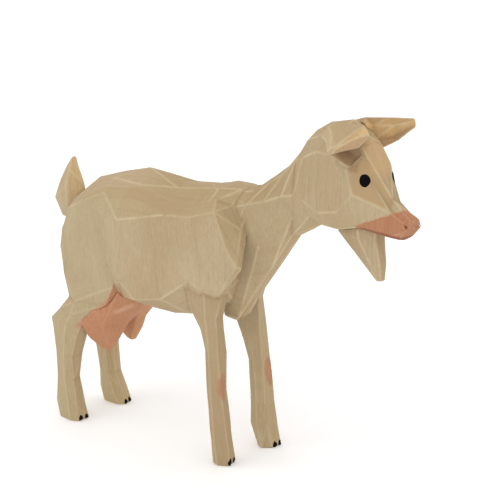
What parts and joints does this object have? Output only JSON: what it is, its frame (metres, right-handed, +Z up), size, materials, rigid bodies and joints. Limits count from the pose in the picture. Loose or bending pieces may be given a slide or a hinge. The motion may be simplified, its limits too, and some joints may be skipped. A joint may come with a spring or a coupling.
{
  "type": "carved goat figurine",
  "caption": "Standing nanny goat figurine carved in flat knife facets from pale limewood, head turned, with tinted muzzle, udder and knees.",
  "frame": {"origin": "on the ground under the middle of the figure's overall outline", "axes": "+X the way the goat faces, +Y its left side, +Z up"},
  "size_m": [0.1233, 0.0321, 0.0977],
  "materials": {
    "limewood": "raw knife-cut limewood, matt",
    "tinted_limewood": "limewood with a thin salmon glaze, grain showing through",
    "beech": "turned beech dowel, matt"
  },
  "bodies": {
    "root": {"body_core": "limewood", "right_flank": "limewood", "left_flank": "limewood", "right_front_leg": "limewood", "left_front_leg": "limewood", "right_hind_leg": "limewood", "left_hind_leg": "limewood", "head": "limewood", "right_ear": "limewood", "left_ear": "limewood", "beard": "limewood", "tail": "limewood", "udder": "tinted_limewood", "shoulder_dowel": "beech", "flank_dowels": "beech", "haunch_dowel": "beech", "head_dowel": "beech", "ear_pegs": "beech", "beard_peg": "beech", "tail_peg": "beech", "udder_pegs": "beech"}
  },
  "joints": []
}
